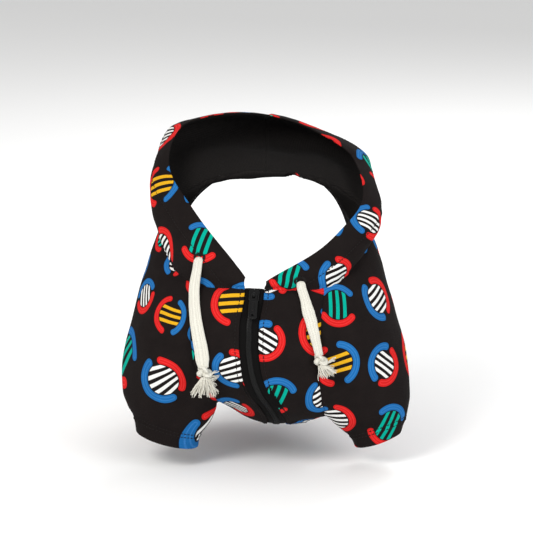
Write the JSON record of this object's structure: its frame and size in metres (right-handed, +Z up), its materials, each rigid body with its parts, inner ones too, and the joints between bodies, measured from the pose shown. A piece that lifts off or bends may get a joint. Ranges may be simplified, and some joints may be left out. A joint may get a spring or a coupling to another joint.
{
  "type": "dog hoodie",
  "caption": "Zip-front raglan hoodie for a small broad dog, in worn form, with the hood pushed back and two flat drawstrings that end in knots.",
  "frame": {"origin": "inner face of the back panel over the withers, where the garment sits on its wearer", "axes": "+Z up, the wearer faces -Y, left pieces at -X"},
  "size_m": [0.2454, 0.3964, 0.2699],
  "materials": {
    "printed_cloth": "matt knit, warm black with a printed pattern",
    "zip_tape": "woven black tape",
    "zip_coil": "black nylon coil",
    "blackened_metal": "black lacquered metal with worn edges",
    "cream_cotton": "flat braided cream cotton"
  },
  "bodies": {
    "garment": {"back_panel": "printed_cloth", "chest_left": "printed_cloth", "chest_right": "printed_cloth", "sleeve_left": "printed_cloth", "sleeve_right": "printed_cloth", "hood_left": "printed_cloth", "hood_right": "printed_cloth", "zip_tape_left": "zip_tape", "zip_tape_right": "zip_tape", "zip_chain": "zip_coil", "zip_slider": "blackened_metal", "zip_top_stop_left": "blackened_metal", "zip_top_stop_right": "blackened_metal", "zip_bottom_stop": "blackened_metal", "drawstring_left": "cream_cotton", "drawstring_right": "cream_cotton", "knot_left": "cream_cotton", "knot_right": "cream_cotton"},
    "zip_pull": {"zip_pull": "blackened_metal"}
  },
  "joints": [
    {"name": "zip_pull_swing", "type": "hinge", "parent": "garment", "child": "zip_pull", "pos_m": [-0.00991, -0.13187, -0.07989], "axis": [-0.9971, 0.0247, 0.0715], "range_deg": [0, 160]}
  ]
}
